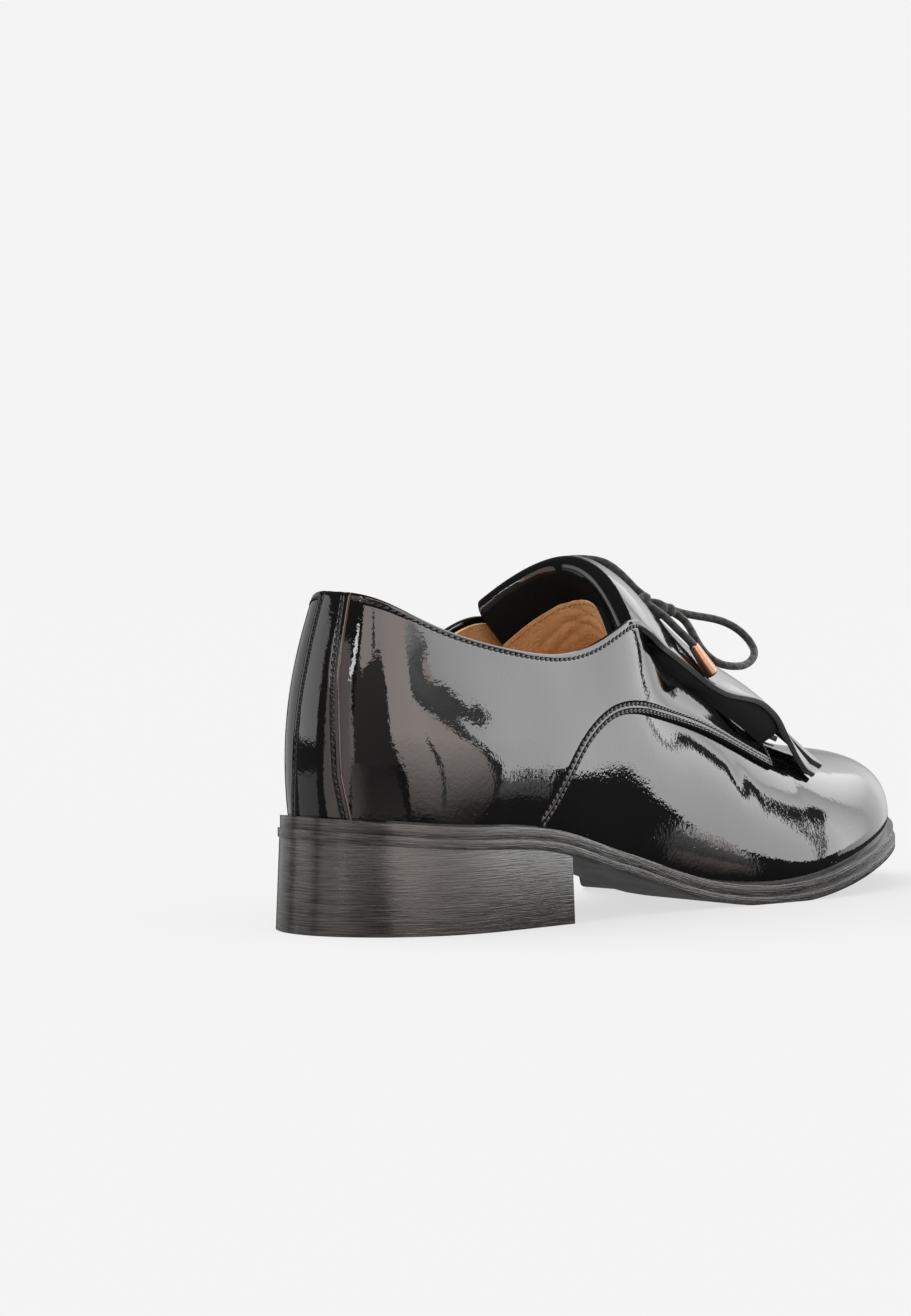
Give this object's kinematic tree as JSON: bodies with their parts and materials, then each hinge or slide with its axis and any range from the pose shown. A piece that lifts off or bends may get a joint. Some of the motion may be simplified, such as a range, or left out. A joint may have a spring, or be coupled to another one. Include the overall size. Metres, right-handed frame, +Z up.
{
  "type": "dress shoe",
  "caption": "Black patent leather lace-up derby dress shoe for the right foot, with a fringed kiltie folded over the tongue, a low stacked heel and a tied lace bow.",
  "frame": {"origin": "middle of the shoe's footprint, on the floor", "axes": "+X towards the toe, +Y towards the inner side of the foot, +Z up"},
  "size_m": [0.2632, 0.0832, 0.0965],
  "materials": {
    "patent_leather": "high gloss patent",
    "sole_leather": "satin, burnished black edge",
    "lining_leather": "matte",
    "lace_cotton": "matte, waxed",
    "copper_tip": "satin"
  },
  "bodies": {
    "root": {"outsole": "sole_leather", "midsole": "sole_leather", "heel": "sole_leather", "insole": "lining_leather", "upper": "patent_leather", "quarter_lateral": "patent_leather", "quarter_medial": "patent_leather", "backstrip": "patent_leather", "tongue": "lining_leather", "kiltie": "patent_leather", "lace_bars": "lace_cotton", "lace_knot": "lace_cotton", "lace_loop_near": "lace_cotton", "lace_loop_far": "lace_cotton", "lace_end_near": "lace_cotton", "lace_end_far": "lace_cotton", "aglet_near": "copper_tip", "aglet_far": "copper_tip"}
  },
  "joints": []
}
